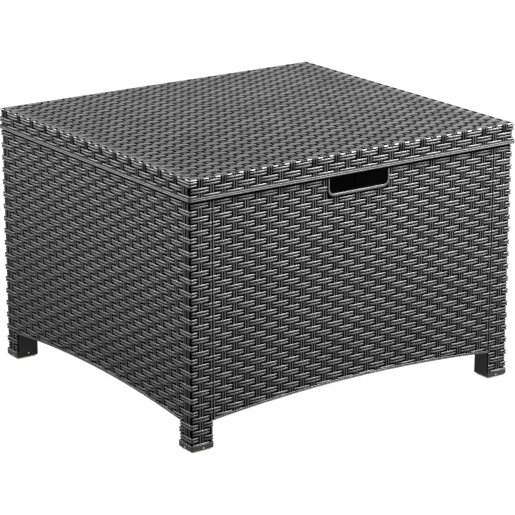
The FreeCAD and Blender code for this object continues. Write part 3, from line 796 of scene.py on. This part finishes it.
def side_panel(sx, name, node):
    """Side wall with its corner posts, wrapped round to the seams on the front and the rear."""
    face = BODYF["right" if sx > 0 else "left"]
    fl = face.flip
    wefts, staves = Mesh(), Mesh()
    cap = const(LIP_Z + 0.3)
    band = BAND_Z - 0.2
    # side face, whole wall
    rows = brick_rows(STY, lambda j, k: over_side(j, k) and 0 < j < 25, K_BODY, row_z, -400, 400)
    low = lambda s: np.where(np.abs(s) < POSTY, ARCH_S(s) + EDGE_H - 0.4, band)
    bricks(wefts, face.at, rows, flip=fl, low=low, high=cap)
    # legs on the side face
    for sy in (-1, 1):
        lo_s, hi_s = (-400.0, -POSTY) if sy < 0 else (POSTY, 400.0)
        rows = brick_rows(STY, lambda j, k: over_side(j, k) and 0 < j < 25, K_LEG, row_z, lo_s, hi_s)
        bricks(wefts, face.at, rows, flip=fl, low=const(band))
    # bricks round the corners, on every second row
    for sy in (-1, 1):
        h = face.h
        front_end, side_end = h + (BODX - WRAP_X), WRAP_END
        mids = (np.array([305.0, 318.0, h - BODR, h - 0.5 * BODR, h, h + 0.5 * BODR, h + BODR]) - side_end) / (front_end - side_end)
        rows, bare = [], []
        for k in range(3, 40):
            if wraps(k) != sy:
                bare.append((sy * 317.9, row_z(k) - 8.0, row_z(k) + 8.0))
                continue
            c = side_end if k < 36 else POSTY + 0.4
            if sy > 0:
                rows.append((side_end, front_end, c, front_end, row_z(k)))
            else:
                rows.append((-front_end, -side_end, -front_end, -c, row_z(k)))
        bricks(wefts, face.at, rows, mids=mids if sy > 0 else (1 - mids)[::-1], flip=fl, low=const(band), high=cap)
        # on the rows between, a second strand stands beside the last one
        stakes(staves, face.at, bare, half=3.1, flip=fl, low=const(band), high=cap)
    # stakes on the side face
    segs, legsegs = [], []
    for j in range(26):
        for k in list(K_BODY) + list(K_LEG):
            if over_side(j, k):
                continue
            z = row_z(k)
            if k < 36 or abs(STY[j]) > POSTY + 2:
                segs.append((STY[j], z - 8.0, z + 8.0))
    stakes(staves, face.at, segs, flip=fl, low=low, high=cap)
    arch_bead(staves, face, POSTY, ARCH_S, fl)
    # returns on the front and the rear
    for side in ("front", "rear"):
        rf, over = BODYF[side], OVER[side]
        rl = rf.flip
        c_lo, c_hi = sorted((sx * 361.5, sx * (POSTX + 0.1)))
        rows = brick_rows(STX, over, range(3, 40), row_z, c_lo, c_hi)
        bricks(wefts, rf.at, rows, flip=rl, low=const(band), high=cap)
        segs = []
        for k in range(3, 40):
            if not over(0, k):
                segs.append((STX[0] if sx < 0 else STX[28], row_z(k) - 8.0, row_z(k) + 8.0))
        stakes(staves, rf.at, segs, flip=rl, low=const(band), high=cap)
        # the post's half of the strand at the seam
        segs = [(sx * SEAM_X, row_z(k) - 7.7, row_z(k) + 7.7) for k in range(3, 40) if not over(1, k)]
        stakes(staves, rf.at, segs, ribs=list(EDGE_IN if sx < 0 else EDGE_OUT), half=1.0, crest=-0.55, flip=rl, low=const(band), high=cap)
    # rib on top of the foot bands
    for sy in (-1, 1):
        h = face.h
        end_side, end_front = POSTY, h + (BODX - POSTX)
        s = np.array([end_side, end_side + 0.02, 300.0, h - BODR, h - 0.5 * BODR, h, h + 0.5 * BODR, h + BODR, h + 20, end_front - 0.02, end_front])
        z = np.array([11.6, 11.65, 12.3, 13.1, 13.9, 14.3, 14.35])
        n = np.array([-SINK, 0.0, 0.35, 0.4, 0.0, -0.9, -SINK])
        nn = np.broadcast_to(n, (len(s), len(n))).copy()
        nn[0], nn[-1] = -SINK, -SINK
        ss = np.broadcast_to(s[:, None] * sy, nn.shape)
        zz = np.broadcast_to(z[None, :], nn.shape)
        sweep(staves, face.at(ss, zz, nn), nn, flip=(fl if sy > 0 else not fl))
    wefts.make(name + "_bricks", "body", node, "woven_resin", WOVEN)
    staves.make(name + "_stakes", "body", node, "woven_resin", WOVEN)


for side, node in (("front", "front_panel"), ("rear", "rear_panel")):
    pads(side + "_panel_screw_pads", "body", node, BODYF[side].at,
         [(x, z) for x in (-293.5, 293.5) for z in (98.0, 130.0, 398.0, 430.0)], BODYF[side].flip)
end_panel("front", "front_panel", "front_panel")
end_panel("rear", "rear_panel", "rear_panel")
side_panel(-1, "left_panel", "left_side_panel")
side_panel(1, "right_panel", "right_side_panel")


# ------------------------------------------------------------------ lid
TOP_PARITY = 0      # rows with (i + m) % 2 == TOP_PARITY pass over stake i


def over_top(i, m):
    return (i + m) % 2 == TOP_PARITY


def top_at(s, t, n):
    s, t, n = np.broadcast_arrays(np.asarray(s, float), np.asarray(t, float), np.asarray(n, float))
    return np.stack([s, t, TOPZ + n + crown(s, t)], axis=-1)


def lid_weave():
    wefts, staves, skirt = Mesh(), Mesh(), Mesh()
    low = const(RIM_TOP - 0.15)
    pockets = [(xc - 32.6, xc + 32.6) for xc in (-230.0, 230.0)]
    KS = range(0, 3)
    # skirt bricks
    for side in ("front", "rear"):
        f = LIDF[side]
        over = OVER[side]
        rows = brick_rows(STX, over, KS, row_z, -362.5, 362.5,
                          (lambda k: pockets) if side == "rear" else (lambda k: ()))
        bricks(skirt, f.at, rows, flip=f.flip, low=low)
        segs = []
        for i in range(29):
            for k in (1, 2):
                if over(i, k):
                    continue
                if side == "rear" and any(b0 + 1 < STX[i] < b1 - 1 for b0, b1 in pockets):
                    continue
                segs.append((STX[i], row_z(k) - 8.0, row_z(k) + 8.0))
        stakes(skirt, f.at, segs, flip=f.flip, low=low)
    for side in ("left", "right"):
        f = LIDF[side]
        rows = brick_rows(STY, lambda j, k: over_side(j, k) and 0 < j < 25, KS, row_z, -400, 400)
        bricks(skirt, f.at, rows, flip=f.flip, low=low)
        for sy in (-1, 1):
            h = f.h
            front_end, side_end = h + (LIDX - WRAP_X), WRAP_END
            mids = (np.array([305.0, 318.0, h - LIDR, h - 0.5 * LIDR, h, h + 0.5 * LIDR, h + LIDR]) - side_end) / (front_end - side_end)
            rows = [(side_end, front_end, side_end, front_end, row_z(k)) if sy > 0 else
                    (-front_end, -side_end, -front_end, -side_end, row_z(k)) for k in KS if wraps(k) == sy]
            bare = [(sy * 317.9, row_z(k) - 8.0, min(row_z(k) + 8.0, 494.5)) for k in KS if wraps(k) != sy]
            stakes(skirt, f.at, bare, half=3.1, flip=f.flip, low=low)
            bricks(skirt, f.at, rows, mids=mids if sy > 0 else (1 - mids)[::-1], flip=f.flip, low=low)
        segs = [(STY[j], row_z(k) - 8.0, row_z(k) + 8.0) for j in range(26) for k in (1, 2) if not over_side(j, k)]
        stakes(skirt, f.at, segs, flip=f.flip, low=low)
    # hinge pocket frames in the rear skirt
    for xc in (-230.0, 230.0):
        u_bead(skirt, LIDF["rear"], xc, POCKET_HALF, 492.0, 3.4, 3.3, 0.8, 2.0, RIM_TOP - 0.2, 0.0, LIDF["rear"].flip, up=True, inner_n=-4.9)

    # short rails along the four top edges, between the strands that come over them
    reach = HALF_S + 0.9
    rails = Mesh()
    for side in ("front", "rear", "left", "right"):
        f = LIDF[side]
        lines = STX if side in ("front", "rear") else STY
        for a, b in zip(lines[:-1], lines[1:]):
            pill(rails, f, a + reach, b - reach)
    for side in ("left", "right"):
        f = LIDF[side]
        h = f.h
        turn = [h - LIDR, h - 0.5 * LIDR, h, h + 0.5 * LIDR, h + LIDR]
        s_in, s_out = STY[25] + reach, h + (LIDX - STX[28] - reach)
        pill(rails, f, s_in, s_out, mids=turn)
        pill(rails, f, -s_out, -s_in, mids=[-v for v in turn])
    # two ribs round the rim, left open at the hinge pockets
    z = np.array([460.06, 460.08, 460.45, 461.0, 461.75, 462.5, 462.95, 463.25, 463.55, 464.0, 464.75, 465.5, 466.05, 466.42, 466.44])
    n = np.array([-0.6, 0.45, 0.98, 1.22, 1.3, 1.12, 0.8, 0.4, 0.8, 1.12, 1.3, 1.22, 0.98, 0.45, -0.6])
    for side in ("front", "rear", "left", "right"):
        f = LIDF[side]
        h = f.h
        runs = [(-h, h)] if side != "rear" else [(-h, -259.5), (-200.5, 200.5), (259.5, h)]
        for a, b in runs:
            st = [a, b] + [v for v in (-h + 0.5 * LIDR, -h + LIDR, h - LIDR, h - 0.5 * LIDR) if a < v < b]
            st += [v for v in np.linspace(a, b, 24)[1:-1] if abs(v) < h - LIDR - 1]
            st = np.array(sorted(st))
            nn = np.broadcast_to(n, (len(st), len(n))).copy()
            if abs(a) < h - 1:
                nn[0] = -0.6
            if abs(b) < h - 1:
                nn[-1] = -0.6
            ss = np.broadcast_to(st[:, None], nn.shape)
            zz = np.broadcast_to(z[None, :], nn.shape)
            skirt.grid(f.at(ss, zz, nn)[None], flip=f.flip, rise=2.4 * (np.broadcast_to(n, nn.shape) - 1.3)[None])

    # stakes over the front and rear edges
    over_path = [-4.0, -2.0, 0.0, 2.0, 4.0]
    for side in ("front", "rear"):
        f = LIDF[side]
        for i in range(29):
            long_one = not OVER[side](i, 0)
            if side == "rear" and any(b0 - 3 < STX[i] < b1 + 3 for b0, b1 in pockets):
                long_one = False
            m_first = 0 if side == "front" else 52
            covered = over_top(i, m_first)
            w_end = (LIDY - abs(TOPY[m_first])) - HALF_T + 0.4 if covered else (LIDY - abs(TOPY[m_first])) + ROW - HALF_T + 0.4
            path, lift = [], []
            if long_one:
                path += [-17.6, -15.5, -9.5]
                lift += [-1.6, -1.0, -0.7]
            else:
                path += [-5.3]
                lift += [-1.5]
            path += over_path
            lift += [-0.15, 0.1, 0.25, 0.1, -0.35]
            if covered:
                path += [w_end - 0.2]
                lift += [-1.2]
            else:
                path += [9.5, 15.5, w_end]
                lift += [-0.8, -1.15, -1.65]
            wrap_strand(staves, f.over, STX[i], path, lift, HALF_S, f.flip, 0.5 + RNG.uniform(-0.3, 0.3))
    # side stakes over the side edges; on the top they run on as every second row
    for side in ("left", "right"):
        f = LIDF[side]
        for j in range(26):
            if over_side(j, 0):
                path, lift = [-5.3], [-1.5]
            else:
                path, lift = [-17.6, -15.5, -9.5], [-1.6, -1.0, -0.7]
            # over the edge and on over the top, down under the first strand across
            path += over_path + [9.0, 13.5, 17.0, 18.7, 19.0]
            lift += [-0.15, 0.1, 0.25, 0.1, -0.25, -0.5, -0.7, -1.5, -2.9, -4.2]
            wrap_strand(staves, f.over, STY[j], path, lift, HALF_S, f.flip, 0.5 + RNG.uniform(-0.3, 0.3))
    # the table top itself
    across, rows, segs = Mesh(), [], []
    for m, y in enumerate(TOPY):
        for i, x in enumerate(STX):
            if over_top(i, m):
                rows.append((x - BRICK_T / 2, x + BRICK_T / 2, x - BRICK_T / 2, x + BRICK_T / 2, y))
            elif 0 < m < 52:
                segs.append((x, y - 8.0, y + 8.0))
    bricks(wefts, top_at, rows, ribs=T_RIBS, half=HALF_T, amp=1.3, taper=(0.34, 6.0))
    stakes(across, top_at, segs, crest=-1.1)
    across.make("lid_top_crossings", "lid", "lid_top_panel", "woven_resin", WOVEN_TOP_SHADED)
    wefts.make("lid_top_bricks", "lid", "lid_top_panel", "woven_resin", WOVEN_TOP_SHADED)
    staves.make("lid_edge_stakes", "lid", "lid_top_panel", "woven_resin", WOVEN_EDGE_SHADED)
    rails.make("lid_edge_rails", "lid", "lid_top_panel", "woven_resin", WOVEN_RAIL_LIT)
    skirt.make("lid_skirt_weave", "lid", "lid_top_panel", "woven_resin", WOVEN)


lid_weave()
pads("lid_screw_pads", "lid", "lid_top_panel", top_at,
     [(-320, -285), (0, -285), (320, -285), (-320, 0), (320, 0), (-320, 285), (0, 285), (320, 285)], False)

# ------------------------------------------------------------------ materials of the carried-over CAD pieces
for name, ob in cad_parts.items():
    if ob.hide_render:
        continue
    if "glide" in name:
        mat = NYLON
    elif "bumper" in name:
        mat = RUBBER
    elif "screws" in name:
        mat = STEEL
    elif "pin" in name or "leaf" in name:
        mat = COATED
    else:
        mat = PLAIN
    if len(ob.material_slots) == 0:
        ob.data.materials.append(mat)
    for s in ob.material_slots:
        s.material = mat


# ------------------------------------------------------------------ floor, light, camera
def floor():
    bpy.ops.mesh.primitive_plane_add(size=60, location=(0, 0, 0))
    o = bpy.context.active_object
    o.name = "floor"
    m, nt, b, co = nodes_of("pale_floor")
    n = noise(nt, co, 2.0, 2.0)
    c = mixc(nt, span(nt, n, 0.0, 1.0), (0.045, 0.045, 0.045), (0.055, 0.055, 0.055))
    nt.links.new(c, b.inputs["Base Color"])
    b.inputs["Roughness"].default_value = 0.9
    b.inputs["Specular IOR Level"].default_value = 0.1
    # lit from below like a light table, so the ground stays white under the arches
    b.inputs["Emission Color"].default_value = (1.0, 1.0, 1.0, 1.0)
    b.inputs["Emission Strength"].default_value = 0.58
    o.data.materials.append(m)


floor()


def area(name, loc, aim, size, power, size_y=None):
    d = bpy.data.lights.new(name, "AREA")
    d.energy = power
    d.shape = "RECTANGLE" if size_y else "SQUARE"
    d.size = size
    if size_y:
        d.size_y = size_y
    o = bpy.data.objects.new(name, d)
    bpy.context.scene.collection.objects.link(o)
    o.location = loc
    v = np.array(aim, float) - np.array(loc, float)
    from mathutils import Vector
    o.rotation_mode = "QUATERNION"
    o.rotation_quaternion = Vector(v).to_track_quat("-Z", "Y")
    return o


area("key", (1.75, -1.25, 2.55), (0.0, -0.1, 0.3), 1.3, 170.0, 1.3)
area("rear_left", (-1.2, 1.25, 1.55), (-0.2, 0, 0.3), 0.8, 34.0, 0.8)

w = bpy.data.worlds.new("studio")
w.use_nodes = True
bg = w.node_tree.nodes["Background"]
bg.inputs["Color"].default_value = (1.0, 1.0, 1.0, 1.0)
wt = w.node_tree
wc = wt.nodes.new("ShaderNodeTexCoord")
ws = wt.nodes.new("ShaderNodeSeparateXYZ")
wt.links.new(wc.outputs["Generated"], ws.inputs[0])
wr = wt.nodes.new("ShaderNodeValToRGB")
for pos, v in ((0.0, 0.45), (0.07, 0.45), (0.16, 0.06), (0.45, 0.17), (1.0, 0.98)):
    e = wr.color_ramp.elements.new(pos)
    e.color = (v, v, v, 1.0)
for i in reversed(range(len(wr.color_ramp.elements))):
    if wr.color_ramp.elements[i].color[0] in (0.0, 1.0):
        wr.color_ramp.elements.remove(wr.color_ramp.elements[i])
wt.links.new(span(wt, ws.outputs["Z"], 0.0, 1.0), wr.inputs[0])
wt.links.new(span(wt, wr.outputs[0], 0.0, 1.6), bg.inputs["Strength"])
bpy.context.scene.world = w

sc = bpy.context.scene
sc.view_settings.view_transform = "Standard"
sc.view_settings.look = "Very High Contrast"
sc.view_settings.exposure = 0.0
sc.view_settings.gamma = 1.0

cam = bpy.data.cameras.new("camera")
cam.sensor_width = 36.0
cam.lens = 171.17
cam.clip_start, cam.clip_end = 0.05, 200.0
camo = bpy.data.objects.new("camera", cam)
sc.collection.objects.link(camo)
camo.location = (-2.5886, -3.6928, 1.5834)
camo.rotation_euler = (math.radians(90 - 16.843), 0.0, math.radians(-35.125))
sc.camera = camo
